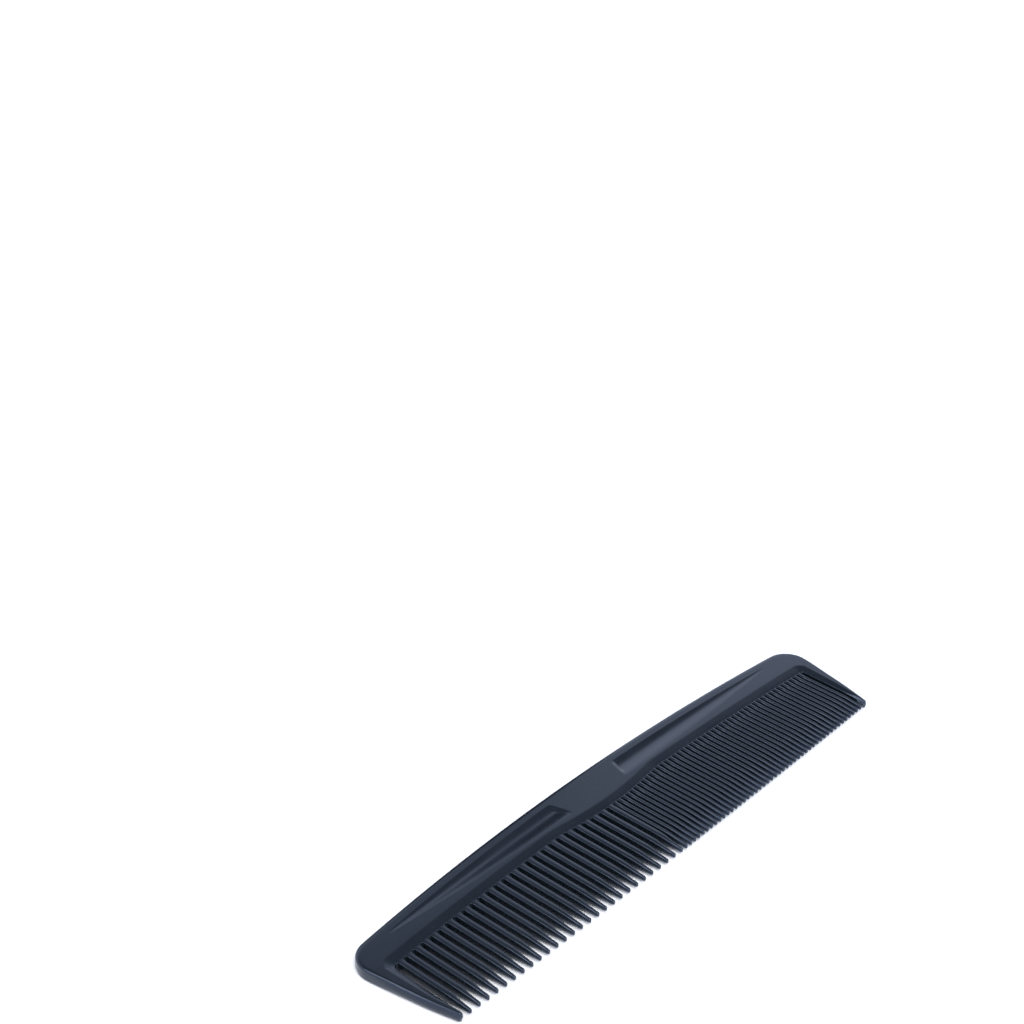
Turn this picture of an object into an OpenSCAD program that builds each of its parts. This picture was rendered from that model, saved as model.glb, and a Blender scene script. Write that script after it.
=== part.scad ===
// Dressing comb, moulded in one piece: an arched spine with grooved faces, a guard at each end,
// coarse teeth over one half and fine teeth over the other.
// The comb lies on one face: +X runs along it towards the fine end, +Y to its back, +Z up.
// The origin is on the surface that it lies on, under the middle of the comb.

/* [Overall] */
// Length from the outside of one guard to the outside of the other
comb_length = 180; // [176:1:184]
// Width from the line through the guards' tips to the top of the arched back
comb_width = 38.4; // [38:0.2:39.6]
// Thickness of the spine
spine_t = 3.9; // [3.6:0.1:4.4]

/* [Spine] */
// Radius of the arched back
back_r = 756; // [700:5:900]
// Height above the tip line of the line where the teeth meet the spine, at its crown
root_y = 25.5; // [25:0.1:26]
// Radius of that line
root_r = 1150; // [1000:10:1400]
// Thickness of the spine along that line
root_t = 3; // [2.8:0.1:3.2]
// Width of the bevel between that line and the full thickness
bevel_w = 2.4; // [2:0.1:2.8]
// Depth of the swelling in the middle of that line
swell_h = 1.8; // [1.2:0.1:2]
// Radius of the swelling
swell_r = 120; // [100:5:160]

/* [Grooves] */
// Distance from the middle of the comb to the square end of each groove
groove_x = 13; // [11:0.5:16]
// Length over which each groove runs out to nothing
groove_len = 65; // [55:1:68]
// Height of the groove's centre line above the tip line, at the square end
groove_y = 32.1; // [31.8:0.1:32.4]
// Fall of that centre line over the groove's length
groove_fall = 1.5; // [1.2:0.1:1.8]
// Depth of the groove at its square end
groove_depth = 0.8; // [0.4:0.1:1]
// Radius of the groove's section
groove_r = 5.7; // [5:0.1:6]

/* [Guards] */
// Radius of the comb's back corners
corner_r = 7; // [6:0.5:8]
// Radius of each guard's outer edge
side_r = 190; // [150:10:240]
// Lean of the coarse guard's outer edge where it leaves the corner, in degrees
coarse_lean = 5.5; // [5:0.5:7]
// Lean of the fine guard's outer edge where it leaves the corner, in degrees
fine_lean = 6.5; // [5:0.5:7]
// Thickness of a guard at its tip
guard_tip_t = 3; // [2.8:0.1:3.4]
// Height at which a guard reaches the thickness of the spine
guard_taper_y = 24.7; // [24:0.1:24.8]
// Distance from the middle of the comb to the coarse guard's inner face
coarse_inner_x = 84.3; // [84:0.1:84.4]
// Distance from the middle of the comb to the fine guard's inner face
fine_inner_x = 84.1; // [84:0.1:84.3]
// Radius of the coarse guard's tip
coarse_guard_tip_r = 1.05; // [0.9:0.05:1.15]
// Radius of the fine guard's tip
fine_guard_tip_r = 0.75; // [0.6:0.05:0.9]
// Height of the coarse guard's tip above the arc of the tooth tips
coarse_guard_rise = 0.25; // [0:0.05:0.5]
// Height above the tip line from which a guard's inner face flares in to its tip
flare_y = 9; // [7:0.5:12]

/* [Tips] */
// Drop of the lowest tooth tips below the tip line: the tips lie on a shallow arc
tip_drop = 1.25; // [0.8:0.05:1.4]
// Radius of that arc
tip_line_r = 4100; // [4000:100:9000]
// Position along the comb of the arc's lowest point
tip_line_x = -35; // [-40:5:0]

/* [Teeth] */
// Number of coarse teeth
coarse_count = 27; // [27]
// Spacing of the coarse teeth
coarse_pitch = 3.08; // [3.07:0.01:3.08]
// Position of the first coarse tooth along the comb
coarse_first_x = -81.6; // [-81.7:0.05:-81.5]
// Width of a coarse tooth at its root
coarse_root_w = 1.75; // [1.6:0.05:1.9]
// Width of a coarse tooth at its shoulder, where the pointed end starts
coarse_shoulder_w = 1.6; // [1.4:0.05:1.7]
// Width of a coarse tooth at its tip
coarse_tip_w = 1; // [0.8:0.1:1.2]
// Number of fine teeth
fine_count = 46; // [46]
// Spacing of the fine teeth
fine_pitch = 1.822; // [1.815:0.001:1.825]
// Position of the first fine tooth along the comb
fine_first_x = 0.5; // [0.45:0.05:0.55]
// Width of a fine tooth at its root
fine_root_w = 1.2; // [1.1:0.05:1.3]
// Width of a fine tooth at its shoulder
fine_shoulder_w = 1.15; // [1:0.05:1.2]
// Width of a fine tooth at its tip
fine_tip_w = 0.85; // [0.6:0.05:0.9]
// Thickness of a coarse tooth at its tip
coarse_tip_t = 1.3; // [1.2:0.1:1.6]
// Thickness of a fine tooth at its tip
fine_tip_t = 1.4; // [1.2:0.1:1.6]
// Thickness of every tooth at its shoulder
shoulder_t = 2.8; // [2.6:0.1:2.9]
// Height of the shoulders above the tip line
shoulder_y = 6; // [5:0.5:8]

/* [Hidden] */
$fn = 48;
// Facets on the large arcs, which keeps their chords within 0.02 mm
arc_fn = 720;
body_colour = [0.10, 0.11, 0.13];
tooth_colour = [0.13, 0.14, 0.17];
// Room that a cutting or bounding solid stands clear of what it cuts
clear = 5;

half_length = comb_length / 2;
// The guards taper, so the comb lies tilted by half of their taper
tilt = atan((spine_t - guard_tip_t) / 2 / guard_taper_y);
lift = guard_tip_t / 2 * cos(tilt);
shift_y = ((comb_width - tip_drop) * cos(tilt) + (spine_t - coarse_tip_t) / 2 * sin(tilt)) / 2;

// Centre of each back corner, tangent inside to the back's arc and to the end of the comb
corner_x = half_length - corner_r;
corner_y = comb_width - back_r + sqrt(pow(back_r - corner_r, 2) - pow(corner_x, 2));
corner_angle = atan2(corner_y - comb_width + back_r, corner_x);

function tip_y(x) = pow(x - tip_line_x, 2) / (2 * tip_line_r) - tip_drop;
function two_digits(n) = str(n < 10 ? "0" : "", n);
function coarse_name(i) = str("coarse_tooth_", two_digits(i));
function pair_name(i) = str("fine_teeth_", two_digits(2 * i - 1), "_", two_digits(2 * i));
COARSE_NAMES = [for (i = [1 : coarse_count]) coarse_name(i)];
PAIR_NAMES = [for (i = [1 : fine_count / 2]) pair_name(i)];

// Puts a shape drawn about the comb's middle plane down on the surface that the comb lies on
module laid_flat() {
    translate([0, -shift_y, lift])
        rotate([tilt, 0, 0])
            children();
}

// Disc as thick as the spine, about the middle plane
module disc(x, y, r, fn) {
    translate([x, y, -spine_t / 2])
        cylinder(h = spine_t, r = r, $fn = fn);
}

// Ring of material above a root line of radius r, with its bevel. A convex line has its
// material outside the arc (side = 1), the swelling has it inside (side = -1).
module root_ring(y, r, side, depth) {
    translate([0, y - side * r, 0])
        rotate_extrude($fn = arc_fn)
            polygon([
                [r, -root_t / 2],
                [r + side * bevel_w, -spine_t / 2],
                [r + side * depth, -spine_t / 2],
                [r + side * depth, spine_t / 2],
                [r + side * bevel_w, spine_t / 2],
                [r, root_t / 2]
            ]);
}

// Hollow in a face of the spine: a cylinder that leaves the face as it runs outwards
module groove() {
    fall = atan(groove_fall / groove_len);
    rise = atan(groove_depth / groove_len);
    translate([groove_x, groove_y, spine_t / 2 + groove_r - groove_depth])
        rotate([0, 90 - rise, -fall])
            cylinder(h = groove_len + clear, r = groove_r, $fn = 96);
}

module both_ends() {
    children();
    mirror([1, 0, 0])
        children();
}

module both_faces() {
    children();
    mirror([0, 0, 1])
        children();
}

module spine() {
    depth = comb_width - root_y + clear;
    color(body_colour)
        laid_flat()
            difference() {
                intersection() {
                    union() {
                        root_ring(root_y, root_r, 1, depth);
                        root_ring(root_y - swell_h, swell_r, -1, bevel_w + clear);
                    }
                    disc(0, comb_width - back_r, back_r, arc_fn);
                    translate([-coarse_inner_x, 0, -spine_t])
                        cube([coarse_inner_x + fine_inner_x, comb_width + clear, 2 * spine_t]);
                }
                both_faces()
                    both_ends()
                        groove();
            }
}

// Side view of a guard: full thickness at the back, tapering to its tip
module guard_wedge() {
    slope = (spine_t - guard_tip_t) / 2 / guard_taper_y;
    low_y = -clear;
    low_z = guard_tip_t / 2 + slope * low_y;
    rotate([90, 0, 90])
        linear_extrude(height = comb_length)
            polygon([
                [low_y, -low_z],
                [guard_taper_y, -spine_t / 2],
                [comb_width + clear, -spine_t / 2],
                [comb_width + clear, spine_t / 2],
                [guard_taper_y, spine_t / 2],
                [low_y, low_z]
            ]);
}

// Guard at the +X end, from its inner face to the end of the comb: a round tip, an outer edge
// that curves up to the round back corner, and the end of the arched back
module guard(inner_x, lean, tip_r, low_y) {
    reach = 2 * corner_r;
    // Centre of the outer edge, tangent to the corner, and of the tip, tangent to that edge
    side_x = corner_x - (side_r - corner_r) * cos(lean);
    side_y = corner_y + (side_r - corner_r) * sin(lean);
    mid_y = low_y + tip_r;
    tip_x = side_x + sqrt(pow(side_r - tip_r, 2) - pow(side_y - mid_y, 2));
    tip_end = asin((mid_y - side_y) / (side_r - tip_r));
    // Direction from the tip's centre to where the flared inner face leaves the tip's circle
    flare_run = norm([inner_x - tip_x, flare_y - mid_y]);
    tip_start = atan2(flare_y - mid_y, inner_x - tip_x) + acos(tip_r / flare_run);
    flare_end = flare_y + clear;
    intersection() {
        guard_wedge();
        translate([0, 0, -spine_t])
            linear_extrude(height = 2 * spine_t)
                polygon([
                    [inner_x, comb_width + clear],
                    [inner_x, flare_y],
                    [inner_x - flare_end * sin(tip_start), flare_y + flare_end * cos(tip_start)],
                    [comb_length, -2 * clear],
                    [comb_length, comb_width + clear]
                ]);
        disc(side_x, side_y, side_r, arc_fn);
        disc(0, comb_width - back_r, back_r, arc_fn);
        union() {
            disc(tip_x, mid_y, tip_r, $fn);
            disc(corner_x, corner_y, corner_r, $fn);
            translate([0, 0, -spine_t])
                linear_extrude(height = 2 * spine_t)
                    polygon([
                        [tip_x, mid_y],
                        [tip_x + reach * cos(tip_end), mid_y + reach * sin(tip_end)],
                        [corner_x + reach * cos(lean), corner_y - reach * sin(lean)],
                        [corner_x, corner_y],
                        [corner_x + reach * cos(corner_angle), corner_y + reach * sin(corner_angle)],
                        [0, comb_width + clear],
                        [tip_x + reach * cos(tip_start), mid_y + reach * sin(tip_start)]
                    ]);
        }
    }
}

module coarse_end_guard() {
    low_y = tip_y(-coarse_inner_x) + coarse_guard_rise;
    color(body_colour)
        laid_flat()
            mirror([1, 0, 0])
                guard(coarse_inner_x, coarse_lean, coarse_guard_tip_r, low_y);
}

module fine_end_guard() {
    color(body_colour)
        laid_flat()
            guard(fine_inner_x, fine_lean, fine_guard_tip_r, tip_y(fine_inner_x));
}

// One tooth on the line x: a round tip, a pointed end up to its shoulder and a long shank that
// still grows in width and thickness up to the line where the spine starts
module tooth(x, root_w, shoulder_w, tip_w, tip_t) {
    tip_r = tip_w / 2;
    low_y = tip_y(x);
    intersection() {
        union() {
            translate([x, 0, -spine_t / 2])
                linear_extrude(height = spine_t)
                    polygon([
                        [-tip_r, low_y + tip_r],
                        [tip_r, low_y + tip_r],
                        [shoulder_w / 2, shoulder_y],
                        [root_w / 2, root_y],
                        [-root_w / 2, root_y],
                        [-shoulder_w / 2, shoulder_y]
                    ]);
            disc(x, low_y + tip_r, tip_r, $fn);
        }
        rotate([90, 0, 90])
            translate([0, 0, -half_length])
                linear_extrude(height = comb_length)
                    polygon([
                        [-tip_drop, -tip_t / 2],
                        [shoulder_y, -shoulder_t / 2],
                        [root_y, -root_t / 2],
                        [root_y, root_t / 2],
                        [shoulder_y, shoulder_t / 2],
                        [-tip_drop, tip_t / 2]
                    ]);
        disc(0, root_y - root_r, root_r, arc_fn);
    }
}

// A tooth cut back where the swelling of the spine comes down to meet it
module fitted_tooth(x, root_w, shoulder_w, tip_w, tip_t) {
    difference() {
        tooth(x, root_w, shoulder_w, tip_w, tip_t);
        disc(0, root_y - swell_h + swell_r, swell_r, arc_fn);
    }
}

module coarse_tooth(i) {
    x = coarse_first_x + coarse_pitch * (i - 1);
    color(tooth_colour)
        laid_flat()
            fitted_tooth(x, coarse_root_w, coarse_shoulder_w, coarse_tip_w, coarse_tip_t);
}

module fine_pair(i) {
    color(tooth_colour)
        laid_flat()
            for (n = [2 * i - 2, 2 * i - 1])
                fitted_tooth(
                    fine_first_x + fine_pitch * n,
                    fine_root_w,
                    fine_shoulder_w,
                    fine_tip_w,
                    fine_tip_t
                );
}

spine();
coarse_end_guard();
fine_end_guard();
for (i = [1 : coarse_count])
    coarse_tooth(i);
for (i = [1 : fine_count / 2])
    fine_pair(i);
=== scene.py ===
import math

import bmesh
import bpy
import numpy as np
from mathutils import Matrix, Vector


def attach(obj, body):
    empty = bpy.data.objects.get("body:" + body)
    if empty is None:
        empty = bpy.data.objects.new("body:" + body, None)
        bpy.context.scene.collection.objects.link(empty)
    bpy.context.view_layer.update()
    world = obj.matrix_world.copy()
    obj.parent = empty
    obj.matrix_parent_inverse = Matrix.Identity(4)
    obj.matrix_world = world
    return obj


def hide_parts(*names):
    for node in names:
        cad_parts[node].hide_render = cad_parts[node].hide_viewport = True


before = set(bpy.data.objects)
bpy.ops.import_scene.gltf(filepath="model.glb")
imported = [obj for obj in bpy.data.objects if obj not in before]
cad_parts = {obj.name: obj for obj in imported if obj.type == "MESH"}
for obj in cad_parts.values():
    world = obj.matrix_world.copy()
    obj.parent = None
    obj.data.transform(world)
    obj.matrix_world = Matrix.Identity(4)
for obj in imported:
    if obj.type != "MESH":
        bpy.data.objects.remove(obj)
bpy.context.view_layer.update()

# ---------------------------------------------------------------------------------------------
# Sizes in millimetres. Inside the helpers x runs along the comb, y from the tooth tips to the
# back and z is measured from the comb's middle plane.
# ---------------------------------------------------------------------------------------------
HALF = 90.0
WIDTH = 38.4
SPINE_T = 3.9
BACK_R = 756.0
ROOT_Y, ROOT_R = 25.5, 1150.0
SWELL_H, SWELL_R, SWELL_BLEND = 1.8, 120.0, 0.35
ROOT_DROP = 0.45
BEVEL_W, BEVEL_GROW = 2.4, 0.4
CORNER_R, SIDE_R = 7.0, 190.0
GUARD_TIP_T, TAPER_Y = 3.0, 24.7
# Inner face, lean in degrees and tip radius of each guard
COARSE_GUARD, COARSE_GUARD_RISE = (84.3, 5.5, 1.05), 0.25
FINE_GUARD = (84.2, 6.5, 0.75)
FLARE_Y, INNER_FILLET = 9, 1.3
EDGE_R, NOSE_R, SHARP_R = 0.5, 1.25, 0.15
CROWN_R, CROWN_W = 2.8, 1.4
SEAM_PROUD = 0.05
THINNEST_HALF = 0.3
# The grooves: distances along the comb of their two ends and of where their edges close up
GROOVE_IN, GROOVE_OUT, GROOVE_CLOSED = 13.4, 77.5, 84
GROOVE_DEPTH, GROOVE_FROM_BACK = 0.6, 3.0
GROOVE_LOW, GROOVE_LOW_RISE = 28.3, 2.5
GROOVE_SLANT, GROOVE_END_SOFT, GROOVE_WALL = 2.2, 0.6, 0.34
TIP_DROP, TIP_LINE_R, TIP_LINE_X = 1.25, 4100.0, -35.0
SHOULDER_T, SHOULDER_Y = 2.8, 6.0
# Root, shoulder and tip width, then tip thickness
COARSE_TOOTH = (1.75, 1.6, 1.0, 1.3)
FINE_TOOTH = (1.2, 1.15, 0.85, 1.4)
# How square the section of a tooth is, and how many points it has
COARSE_SECTION, FINE_SECTION = (4.5, 28), (0.5, 24)
COARSE_N, COARSE_PITCH, COARSE_X = 27, 3.08, -81.6
FINE_N, FINE_PITCH, FINE_X = 46, 1.822, 0.5
# Reach of the last coarse and the first fine tooth into the gap between them
LAST_COARSE_REACH, FIRST_FINE_REACH = 1.15, 0.87
ROOT_OVERLAP, TOOTH_DRIFT = 0.45, 0.035
TILT = math.atan((SPINE_T - GUARD_TIP_T) / 2 / TAPER_Y)
LIFT = GUARD_TIP_T / 2 * math.cos(TILT)
SHIFT_Y = ((WIDTH - TIP_DROP) * math.cos(TILT)
           + (SPINE_T - COARSE_TOOTH[3]) / 2 * math.sin(TILT)) / 2
# Sections along half of the spine: the middle, the end of the groove and the rest
STATIONS = ((0, 9.8, 16), (9.8, 14.6, 25), (14.6, None, 112))
SPINE_END = sum(count for _, _, count in STATIONS) - 2
RNG = np.random.default_rng(7)


def to_row(p):
    """Comb points in millimetres, laid flat in the row frame in metres."""
    p = np.asarray(p, float)
    c, s = math.cos(TILT), math.sin(TILT)
    x, y, z = p[..., 0], p[..., 1], p[..., 2]
    return np.stack([x, y * c - z * s - SHIFT_Y, y * s + z * c + LIFT], -1) / 1000


def smooth(a, b, t):
    t = np.clip((t - a) / (b - a), 0, 1)
    return t * t * (3 - 2 * t)


def back_y(x):
    return WIDTH - BACK_R + np.sqrt(BACK_R**2 - np.square(x))


def root_line(x):
    """Height of the line where the teeth leave the spine, with its swelling in the middle."""
    x = np.asarray(x, float)
    plain = ROOT_Y - x**2 / (2 * ROOT_R)
    swell = ROOT_Y - SWELL_H + x**2 / (2 * SWELL_R)
    h = np.clip(0.5 + (swell - plain) / (2 * SWELL_BLEND), 0, 1)
    return swell + (plain - swell) * h - SWELL_BLEND * h * (1 - h)


# ---------------------------------------------------------------------------------------------
# The spine and the guards: one ribbon of sections from guard tip to guard tip
# ---------------------------------------------------------------------------------------------
def tip_line(x):
    return (x - TIP_LINE_X) ** 2 / (2 * TIP_LINE_R) - TIP_DROP


def half_stations(inner_x, lean, tip_r, low_y):
    """Sections of one half, from the middle to the guard's tip: outer and inner point of each,
    how far it counts as guard (0 on the spine, 1 on the guard) and its place for the groove."""
    lean = math.radians(lean)
    cx = HALF - CORNER_R
    cy = WIDTH - BACK_R + math.sqrt((BACK_R - CORNER_R) ** 2 - cx**2)
    top = math.atan2(cy - WIDTH + BACK_R, cx)
    sx = cx - (SIDE_R - CORNER_R) * math.cos(lean)
    sy = cy + (SIDE_R - CORNER_R) * math.sin(lean)
    ty = low_y + tip_r
    tx = sx + math.sqrt((SIDE_R - tip_r) ** 2 - (sy - ty) ** 2)
    tip_a = math.asin((ty - sy) / (SIDE_R - tip_r))
    x_end = cx + CORNER_R * math.cos(top)
    x_in = inner_x - INNER_FILLET
    y_in = float(root_line(x_in)) - INNER_FILLET
    out = []
    runs = [np.linspace(a, x_end if b is None else b, count) for a, b, count in STATIONS]
    for x in np.unique(np.concatenate(runs)):
        xi = x * x_in / x_end
        out.append(((x, float(back_y(x))), (xi, float(root_line(xi))), 0.0, x))
    for u in np.linspace(0, 1, 25)[1:]:
        a = top + (-lean - top) * u
        b = math.pi / 2 * (1 - smooth(0, 1, u))
        out.append(((cx + CORNER_R * math.cos(a), cy + CORNER_R * math.sin(a)),
                    (x_in + INNER_FILLET * math.cos(b), y_in + INNER_FILLET * math.sin(b)),
                    float(u), 90))
    for u in np.linspace(0, 1, 30)[1:]:
        a = -lean + (tip_a + lean) * u
        y = y_in + (ty - y_in) * u
        x = inner_x - (inner_x - (tx - tip_r)) * float(smooth(FLARE_Y, 0, y))
        out.append(((sx + SIDE_R * math.cos(a), sy + SIDE_R * math.sin(a)), (x, y), 1.0, 95))
    for u in np.linspace(0, 1, 11)[1:]:
        a = tip_a + (-math.pi / 2 - tip_a) * u
        b = math.pi + math.pi / 2 * u
        out.append(((tx + tip_r * math.cos(a), ty + tip_r * math.sin(a)),
                    (tx + tip_r * math.cos(b), ty + tip_r * math.sin(b)), 1.0, 99))
    return out


def groove_at(x, w):
    """Distances from the back of a groove's two edges, and its depth, at a section."""
    x = abs(x)
    u = np.clip((x - GROOVE_IN) / (GROOVE_OUT - GROOVE_IN), 0, 1)
    near = GROOVE_FROM_BACK
    low = GROOVE_LOW + GROOVE_LOW_RISE * u**2.2
    far = max(float(back_y(min(x, GROOVE_OUT))) - low, near + 0.35)
    away = float(smooth(GROOVE_OUT, GROOVE_CLOSED, x))
    depth = GROOVE_DEPTH * (1 - u) ** 0.8
    return near + (0.35 * w - near) * away, far + (0.55 * w - far) * away, depth


def groove_loss(v, x, depth):
    """Depth of the hollow across its section: a steep wall under the back, then a floor that
    rises gently. The end nearest the middle is cut on the slant."""
    wall = np.clip((GROOVE_WALL - v) / GROOVE_WALL, 0, 1)
    rise = np.clip((v - GROOVE_WALL) / (1 - GROOVE_WALL), 0, 1)
    start = GROOVE_IN - GROOVE_SLANT * v
    end = smooth(start - GROOVE_END_SOFT, start + GROOVE_END_SOFT, abs(x))
    return depth * (1 - wall**2) * (1 - smooth(0, 1, rise)) * end


def section(po, pi, guard, x_ref):
    """Closed loop of one section, from the middle of the outer wall over the top, round the
    inner wall and back underneath."""
    po, pi = np.array(po), np.array(pi)
    w = float(np.linalg.norm(pi - po))
    n = (pi - po) / max(w, 1e-6)
    nose = guard * float(smooth(9, 1, (po[1] + pi[1]) / 2))
    edge_r = EDGE_R + (NOSE_R - EDGE_R) * guard * float(smooth(26, 17, po[1]))
    inner_r = SHARP_R + (NOSE_R - SHARP_R) * nose
    bevel = min(BEVEL_W + BEVEL_GROW * min(abs(po[0]) / 80, 1) ** 2, 0.35 * w)
    g0, g1, depth = groove_at(x_ref, w)
    a1 = min(edge_r, 0.3 * w)
    a6 = w - min(inner_r, (0.12 + 0.18 * nose) * w)
    ridge = w - bevel
    soft = min(0.35, 0.3 * bevel)
    g0, g1 = max(g0, a1 + 0.02 * w), min(g1, ridge - soft - 0.02 * w)
    lip = min(0.14, 0.1 * (g1 - g0))
    crown_w = min(CROWN_W, 0.3 * w)
    crown = max(crown_w, a1 + 0.02 * w)
    # Distances from the back: edge, crown, groove, flat, bevel and inner edge
    d = list(a1 * (1 - np.cos(np.linspace(0, math.pi / 2, 7))))
    d += list(a1 + (crown - a1) * np.array([0.2, 0.4, 0.6, 0.8, 1.0]))
    d += [(crown + g0) / 2, g0 - lip]
    d += list(np.linspace(g0, g1, 17))
    d += [g1 + lip, (g1 + ridge - soft) / 2 + lip / 2]
    d += list(np.linspace(ridge - soft, ridge + soft, 6))
    d += [(ridge + soft + a6) / 2]
    d += list(w - (w - a6) * (1 - np.sin(np.linspace(0, math.pi / 2, 5))))
    d = np.maximum.accumulate(np.clip(np.array(d), 0, w))
    y = po[1] + n[1] * d
    taper = np.clip((TAPER_Y - y) / TAPER_Y, 0, 1)
    base = SPINE_T / 2 - guard * (SPINE_T - GUARD_TIP_T) / 2 * taper
    t = (d - ridge) / max(soft, 1e-6)
    ramp = np.where(t < -1, 0, np.where(t > 1, t, (t + 1) ** 2 / 4)) * soft
    z = base - ROOT_DROP * ramp / max(bevel, 1e-6)
    v = np.clip((d - g0) / max(g1 - g0, 1e-6), 0, 1)
    z = z - groove_loss(v, x_ref, depth)
    # The back is crowned before it turns over the edge
    lost = np.clip(crown_w - d, 0, None)
    z = z - (CROWN_R - np.sqrt(CROWN_R**2 - lost**2))
    lost = np.clip(edge_r - d, 0, None)
    z = z - (edge_r - np.sqrt(np.clip(edge_r**2 - lost**2, 0, None)))
    lost = np.clip(inner_r - (w - d), 0, None)
    z = z - (inner_r - np.sqrt(np.clip(inner_r**2 - lost**2, 0, None)))
    z = np.maximum(z, THINNEST_HALF)
    top = [(float(po[0] + n[0] * a), float(po[1] + n[1] * a), float(b)) for a, b in zip(d, z)]
    # The seam of the mould stands a little proud along the middle of the outer wall
    proud = SEAM_PROUD * min(1.0, w)
    seam = [(0.22, 0.0), (0.09, 0.0), (0.035, proud)]
    wall = [(float(po[0] - n[0] * q), float(po[1] - n[1] * q), h) for h, q in reversed(seam)]
    low = [(a, b, -h) for a, b, h in reversed(top)]
    under = [(a, b, -h) for a, b, h in reversed(wall)]
    return wall + top + low + under


def ribbon(name, rings, cap_start, cap_end):
    m = len(rings[0])
    verts = [p for r in rings for p in to_row(np.array(r))]
    faces = []
    for i in range(len(rings) - 1):
        for j in range(m):
            k = (j + 1) % m
            faces.append((i * m + j, (i + 1) * m + j, (i + 1) * m + k, i * m + k))
    if cap_start:
        faces.append(tuple(range(m)))
    if cap_end:
        faces.append(tuple(reversed(range((len(rings) - 1) * m, len(rings) * m))))
    ob = make(name, verts, faces)
    sharp_caps(ob)
    return ob


def sharp_caps(ob):
    """The flat ends, hidden against the next piece, don't bend the shading round them."""
    mesh = ob.data
    caps = {tuple(sorted(e)) for p in mesh.polygons if len(p.vertices) > 4 for e in p.edge_keys}
    for e in mesh.edges:
        if tuple(sorted(e.vertices)) in caps:
            e.use_edge_sharp = True


def add_object(name, data):
    ob = bpy.data.objects.new(name, data)
    bpy.context.scene.collection.objects.link(ob)
    return ob


def make(name, verts, faces, merge=1e-6):
    """A smooth-shaded piece, with doubled points merged and its normals outwards."""
    mesh = bpy.data.meshes.new(name)
    mesh.from_pydata([tuple(v) for v in verts], [], faces)
    ob = add_object(name, mesh)
    bm = bmesh.new()
    bm.from_mesh(mesh)
    bmesh.ops.remove_doubles(bm, verts=bm.verts, dist=merge)
    bmesh.ops.dissolve_degenerate(bm, edges=bm.edges, dist=merge / 2)
    bmesh.ops.recalc_face_normals(bm, faces=bm.faces)
    for f in bm.faces:
        f.smooth = True
    bm.to_mesh(mesh)
    bm.free()
    return ob


def body_pieces():
    coarse_low = tip_line(-COARSE_GUARD[0]) + COARSE_GUARD_RISE
    fine_half = half_stations(*FINE_GUARD, tip_line(FINE_GUARD[0]))
    coarse_half = half_stations(*COARSE_GUARD, coarse_low)
    fine = [section(*s) for s in fine_half]
    coarse = [[(-x, y, z) for x, y, z in section(*s)] for s in coarse_half]
    spine = coarse[SPINE_END - 1:0:-1] + fine[:SPINE_END]
    return {
        "spine": ribbon("spine_moulding", spine, True, True),
        "coarse_end_guard": ribbon("coarse_guard_moulding", coarse[SPINE_END - 1:], True, False),
        "fine_end_guard": ribbon("fine_guard_moulding", fine[SPINE_END - 1:], True, False),
    }


# ---------------------------------------------------------------------------------------------
# Teeth
# ---------------------------------------------------------------------------------------------
def profile(y, y0, yr, tip, shoulder, root):
    """Size at height y: from the tip to the shoulder and on to the root, with the corner eased."""
    low = tip + (shoulder - tip) * (y - y0) / (SHOULDER_Y - y0)
    high = shoulder + (root - shoulder) * (y - SHOULDER_Y) / (yr - SHOULDER_Y)
    ease = 0.06 * shoulder
    h = min(max(0.5 + (high - low) / (2 * ease), 0.0), 1.0)
    return high + (low - high) * h - ease * h * (1 - h)


def tooth(x0, sizes, shape, left, right, lean):
    """Rings of one tooth from its tip to its root, where it flares into round-topped gaps.
    left and right are the distances to the middle of the gap on each side."""
    root_w, shoulder_w, tip_w, tip_t = sizes
    square, points = shape
    yr = float(root_line(x0))
    y0 = tip_line(x0)
    tip_len = 0.5 * tip_w
    flare = max(left, right) - root_w / 2
    ys = list(y0 + tip_len * (1 - np.cos(np.linspace(0.18, math.pi / 2, 6))))
    ys += list(np.linspace(y0 + tip_len, SHOULDER_Y + 2, 7)[1:])
    ys += list(np.linspace(SHOULDER_Y + 2, yr - flare, 6)[1:])
    ys += list(yr - flare + flare * np.sin(np.linspace(0, math.pi / 2, 8))[1:])
    ys += [yr + ROOT_OVERLAP]
    th = np.linspace(0, 2 * math.pi, points, endpoint=False)
    rings = []
    for y in ys:
        t = min((y - y0) / (yr - y0), 1.0)
        w = profile(y, y0, yr, tip_w, shoulder_w, root_w) / 2
        end = math.sqrt(max(0.0, 1 - max(0.0, 1 - (y - y0) / tip_len) ** 2))
        half_t = profile(y, y0, yr, tip_t, SHOULDER_T, SPINE_T - 2 * ROOT_DROP) / 2
        half_t *= 0.5 + 0.5 * end
        sides = []
        for reach in (right, left):
            g = reach - root_w / 2
            up = min(max(y - (yr - g), 0.0), g)
            sides.append(w * end + (g - math.sqrt(max(g * g - up * up, 0.0))))
        near_root = float(smooth(yr - 2.2 * flare, yr, y))
        power = 2 / (2.2 + square * float(smooth(1, 8, y)) + 9 * near_root**2)
        c, s = np.cos(th), np.sin(th)
        a = np.where(c > 0, sides[0], sides[1])
        x = a * np.sign(c) * np.abs(c) ** power
        z = half_t * np.sign(s) * np.abs(s) ** power
        drift = lean * (1 - t) ** 2
        shear = (root_line(x0 + x) - yr) * near_root
        rings.append(np.stack([x0 + x + drift, y + shear, z], -1))
    return rings


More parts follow.
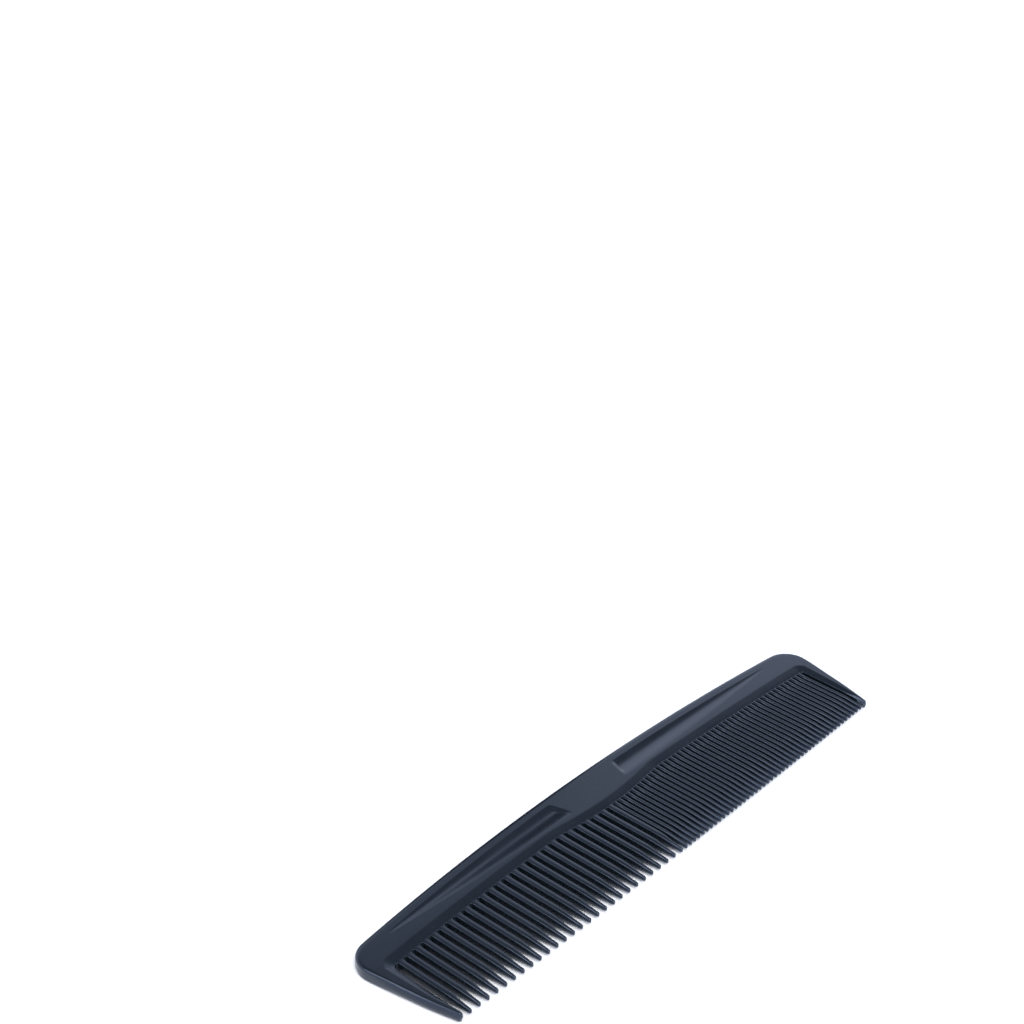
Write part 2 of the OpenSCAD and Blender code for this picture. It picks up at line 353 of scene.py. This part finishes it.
def tooth_mesh(name, teeth):
    verts, faces = [], []
    for rings in teeth:
        m, base = len(rings[0]), len(verts)
        for r in rings:
            verts += list(to_row(r))
        for i in range(len(rings) - 1):
            for j in range(m):
                k = (j + 1) % m
                faces.append((base + i * m + j, base + (i + 1) * m + j,
                              base + (i + 1) * m + k, base + i * m + k))
        faces.append(tuple(base + j for j in reversed(range(m))))
        last = base + (len(rings) - 1) * m
        faces.append(tuple(last + j for j in range(m)))
    return make(name, verts, faces)


def tooth_pieces():
    xs = [COARSE_X + COARSE_PITCH * i for i in range(COARSE_N)]
    xs += [FINE_X + FINE_PITCH * i for i in range(FINE_N)]
    pieces, shapes = {}, []
    for i, x in enumerate(xs):
        coarse = i < COARSE_N
        sizes, shape = (COARSE_TOOTH, COARSE_SECTION) if coarse else (FINE_TOOTH, FINE_SECTION)
        pitch = COARSE_PITCH if coarse else FINE_PITCH
        left = (x - xs[i - 1]) / 2 if i else pitch / 2
        right = (xs[i + 1] - x) / 2 if i + 1 < len(xs) else pitch / 2
        if i == COARSE_N - 1:
            right = LAST_COARSE_REACH
        if i == COARSE_N:
            left = FIRST_FINE_REACH
        lean = RNG.normal(0, TOOTH_DRIFT)
        shapes.append(tooth(x, sizes, shape, left, right, lean))
    for i in range(COARSE_N):
        tag = f"{i + 1:02d}"
        pieces[f"coarse_tooth_{tag}"] = tooth_mesh(f"coarse_tooth_moulding_{tag}", [shapes[i]])
    for i in range(FINE_N // 2):
        a = COARSE_N + 2 * i
        tag = f"{2 * i + 1:02d}_{2 * i + 2:02d}"
        pieces[f"fine_teeth_{tag}"] = tooth_mesh(f"fine_teeth_moulding_{tag}", shapes[a:a + 2])
    return pieces


# ---------------------------------------------------------------------------------------------
# Material
# ---------------------------------------------------------------------------------------------
PLASTIC_DARK, PLASTIC_LIGHT = (0.0032, 0.0058, 0.008, 1), (0.006, 0.0095, 0.0125, 1)
# The tip colour on the next line is painted light: the tips made lighter for the white floor's
# light reflected on them
SCRATCHED, TIP_PAINTED_LIGHT = (0.035, 0.037, 0.042, 1), (0.020, 0.028, 0.042, 1)
DUSTY = (0.10, 0.10, 0.11, 1)
GLOSS_TINT, PLASTIC_IOR = (0.63, 0.73, 1.0, 1), 1.56
FLOOR_DARK, FLOOR_LIGHT = (0.93, 0.93, 0.935, 1), (0.95, 0.95, 0.95, 1)
# Painted light on the tips, standing for the white floor's light reflected on their rounded sides,
# sets in across the comb towards the tips, and along it towards the fine half, in metres
TIP_LIGHT_START, TIP_LIGHT_FULL = -0.0135, -0.019
COARSE_TIP_LIGHT_END, FINE_TIP_LIGHT_START, COARSE_TIP_LIGHT = -0.01, 0.005, 0.35


class Nodes:
    def __init__(self, tree):
        self.t = tree

    def add(self, kind, inputs=None, **props):
        n = self.t.nodes.new(kind)
        for k, v in props.items():
            setattr(n, k, v)
        for k, v in (inputs or {}).items():
            if isinstance(v, bpy.types.NodeSocket):
                self.t.links.new(v, n.inputs[k])
            else:
                n.inputs[k].default_value = v
        return n

    def math(self, op, a, b=0.0):
        return self.add("ShaderNodeMath", {0: a, 1: b}, operation=op).outputs[0]

    def noise(self, vector, scale, detail=2.0, rough=0.5):
        return self.add("ShaderNodeTexNoise", {
            "Vector": vector, "Scale": scale, "Detail": detail, "Roughness": rough}).outputs["Fac"]

    def mix(self, factor, first, second):
        return self.add("ShaderNodeMix", {"Factor": factor, 6: first, 7: second},
                        data_type="RGBA").outputs[2]

    def ramp(self, value, low, high, to_low=0.0, to_high=1.0):
        return self.add("ShaderNodeMapRange", {
            "Value": value, "From Min": low, "From Max": high,
            "To Min": to_low, "To Max": to_high}).outputs["Result"]


def fresh_nodes(owner):
    """The emptied node tree of a material or a world."""
    owner.use_nodes = True
    owner.node_tree.nodes.clear()
    return Nodes(owner.node_tree)


def comb_plastic():
    """Black moulded plastic: slightly blue, satin gloss, with flow marks, rubbed patches, fine
    scratches along the comb, a little dust, and tips painted lighter for the floor's reflected
    light."""
    m = bpy.data.materials.new("comb_plastic_black")
    n = fresh_nodes(m)
    where = n.add("ShaderNodeTexCoord").outputs["Object"]
    along = n.add("ShaderNodeMapping", {"Vector": where, "Scale": (0.12, 1.0, 1.0)}).outputs[0]
    long_lines = n.add("ShaderNodeMapping", {
        "Vector": where, "Scale": (0.03, 1.0, 0.4), "Rotation": (0, 0, 0.06)}).outputs[0]
    cloud = n.noise(where, 90, 4, 0.6)
    flow = n.noise(along, 420, 3, 0.55)
    grain = n.noise(where, 5200, 2, 0.6)
    lines = n.noise(long_lines, 5200, 2, 0.7)
    scratch = n.ramp(lines, 0.66, 0.8)
    rubbed = n.ramp(n.noise(where, 55, 3, 0.55), 0.45, 0.75)
    dust = n.ramp(n.noise(where, 3100, 1, 0.3), 0.78, 0.84)
    tone = n.mix(cloud, PLASTIC_DARK, PLASTIC_LIGHT)
    scratched_and_tip_lit = n.mix(n.math("MULTIPLY", scratch, 0.25), tone, SCRATCHED)
    # The tips are painted lighter, standing for the white floor's light reflected on their rounded
    # sides, the fine ones most
    place = n.add("ShaderNodeSeparateXYZ", {"Vector": where})
    near_tip = n.math("MULTIPLY", n.ramp(place.outputs["Y"], TIP_LIGHT_START, TIP_LIGHT_FULL),
                      n.ramp(cloud, 0.2, 0.6, 0.6, 1.0))
    by_half = n.ramp(place.outputs["X"], COARSE_TIP_LIGHT_END, FINE_TIP_LIGHT_START, COARSE_TIP_LIGHT, 1.0)
    scratched_and_tip_lit = n.mix(n.math("MULTIPLY", near_tip, by_half), scratched_and_tip_lit, TIP_PAINTED_LIGHT)
    colour = n.mix(n.math("MULTIPLY", dust, 0.2), scratched_and_tip_lit, DUSTY)
    rough = n.math("ADD", n.ramp(cloud, 0.3, 0.7, 0.17, 0.23), n.math("MULTIPLY", rubbed, 0.07))
    rough = n.math("ADD", rough, n.math("MULTIPLY", scratch, 0.1))
    height = n.math("ADD", n.math("MULTIPLY", grain, 0.35), n.math("MULTIPLY", flow, 1.1))
    height = n.math("SUBTRACT", height, n.math("MULTIPLY", scratch, 0.5))
    bump = n.add("ShaderNodeBump", {"Strength": 0.3, "Distance": 0.00002, "Height": height})
    shader = n.add("ShaderNodeBsdfPrincipled", {
        "Base Color": colour, "Roughness": rough, "IOR": PLASTIC_IOR,
        "Specular Tint": GLOSS_TINT, "Normal": bump.outputs[0]})
    n.add("ShaderNodeOutputMaterial", {"Surface": shader.outputs[0]})
    return m


def paper_white():
    m = bpy.data.materials.new("pale_floor")
    n = fresh_nodes(m)
    where = n.add("ShaderNodeTexCoord").outputs["Object"]
    tone = n.mix(n.noise(where, 3, 2), FLOOR_DARK, FLOOR_LIGHT)
    shader = n.add("ShaderNodeBsdfPrincipled", {"Base Color": tone, "Roughness": 0.9,
                                                "Specular IOR Level": 0.1})
    n.add("ShaderNodeOutputMaterial", {"Surface": shader.outputs[0]})
    return m


# ---------------------------------------------------------------------------------------------
# Build
# ---------------------------------------------------------------------------------------------
plastic = comb_plastic()
made = body_pieces()
made.update(tooth_pieces())
for node, piece in made.items():
    piece.data.materials.append(plastic)
    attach(piece, "root")
    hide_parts(node)

# ---------------------------------------------------------------------------------------------
# Stage, light and camera
# ---------------------------------------------------------------------------------------------
FLOOR_HALF, FLOOR_DROP = 6.0, 0.00002
FLAG_AT, FLAG_RADIUS, FLAG_HEIGHT, FLAG_COLOUR = (0.01, 0.125), 0.075, 0.036, (0.06, 0.06, 0.10, 1)
SUN_DIRECTION, SUN_POWER, SUN_ANGLE = (0.5, 0.9, -1.5), 2.7, 40
STRIP_AT, STRIP_SIZE, STRIP_POWER = (-0.894, 0.379, 0.705), (0.25, 0.9), 3
# Sky brightness against the height of a direction: bright near the horizon, dim overhead
SKY_COLOUR, SKY_LOW, SKY_HIGH = (0.78, 0.84, 1.0, 1), 1.5, 0.31
SKY_DIM_FROM, SKY_DIM_TO = 0.57, 0.73
CAMERA_AT = (-0.35075, -0.26249 - SHIFT_Y / 1000, 0.35229)
CAMERA_LENS, CAMERA_SENSOR = 74.63, 36
DOWN, TURN, ROLL = math.radians(29.846), math.radians(47.473), math.radians(-0.592)


def lay_floor():
    mesh = bpy.data.meshes.new("floor")
    r = FLOOR_HALF
    mesh.from_pydata([(-r, -r, 0), (r, -r, 0), (r, r, 0), (-r, r, 0)], [], [(0, 1, 2, 3)])
    ob = add_object("floor", mesh)
    ob.location.z = -FLOOR_DROP
    mesh.materials.append(paper_white())


def flag(name, centre, radius, height, colour):
    """A dark studio flag that only the gloss sees: an upright drum beside the comb."""
    steps = 48
    verts, faces = [], []
    for z in (0.0, height):
        for i in range(steps):
            a = 2 * math.pi * i / steps
            verts.append((centre[0] + radius * math.cos(a), centre[1] + radius * math.sin(a), z))
    for i in range(steps):
        j = (i + 1) % steps
        faces.append((i, j, steps + j, steps + i))
    mesh = bpy.data.meshes.new(name)
    mesh.from_pydata(verts, [], faces)
    ob = add_object(name, mesh)
    m = bpy.data.materials.new(name)
    n = fresh_nodes(m)
    e = n.add("ShaderNodeEmission", {"Color": colour, "Strength": 1.0})
    n.add("ShaderNodeOutputMaterial", {"Surface": e.outputs[0]})
    mesh.materials.append(m)
    ob.visible_camera = False
    ob.visible_diffuse = False
    ob.visible_shadow = False
    ob.visible_transmission = False


def point_along(ob, direction):
    ob.rotation_mode = "QUATERNION"
    ob.rotation_quaternion = Vector(direction).to_track_quat("-Z", "Y")


def lights():
    sun = bpy.data.lights.new("softbox_high", "SUN")
    sun.energy = SUN_POWER
    sun.angle = math.radians(SUN_ANGLE)
    point_along(add_object("softbox_high", sun), SUN_DIRECTION)
    strip = bpy.data.lights.new("strip_left", "AREA")
    strip.shape = "RECTANGLE"
    strip.size, strip.size_y = STRIP_SIZE
    strip.energy = STRIP_POWER
    ob = add_object("strip_left", strip)
    ob.location = STRIP_AT
    point_along(ob, -Vector(STRIP_AT))


def studio_sky():
    world = bpy.data.worlds.new("studio")
    bpy.context.scene.world = world
    n = fresh_nodes(world)
    direction = n.add("ShaderNodeTexCoord").outputs["Generated"]
    height = n.add("ShaderNodeSeparateXYZ", {"Vector": direction}).outputs["Z"]
    level = n.ramp(height, SKY_DIM_FROM, SKY_DIM_TO, SKY_LOW, SKY_HIGH)
    sky = n.add("ShaderNodeBackground", {"Color": SKY_COLOUR, "Strength": level})
    n.add("ShaderNodeOutputWorld", {"Surface": sky.outputs[0]})


def aim_camera():
    """The camera looks down by DOWN, is turned from +Y towards +X by TURN, and rolled by ROLL."""
    data = bpy.data.cameras.new("camera")
    data.sensor_width = CAMERA_SENSOR
    data.lens = CAMERA_LENS
    data.clip_start, data.clip_end = 0.01, 50
    camera = add_object("camera", data)
    forward = Vector((math.sin(TURN) * math.cos(DOWN), math.cos(TURN) * math.cos(DOWN),
                      -math.sin(DOWN)))
    right = Vector((math.cos(TURN), -math.sin(TURN), 0))
    up = right.cross(forward).normalized()
    camera.location = CAMERA_AT
    turned = Matrix((right, up, -forward)).transposed()
    camera.rotation_mode = "QUATERNION"
    camera.rotation_quaternion = (turned @ Matrix.Rotation(ROLL, 3, "Z")).to_quaternion()
    bpy.context.scene.camera = camera


lay_floor()
flag("dark_flag", FLAG_AT, FLAG_RADIUS, FLAG_HEIGHT, FLAG_COLOUR)
lights()
studio_sky()
aim_camera()
bpy.context.scene.view_settings.view_transform = "Standard"
bpy.context.scene.view_settings.look = "None"
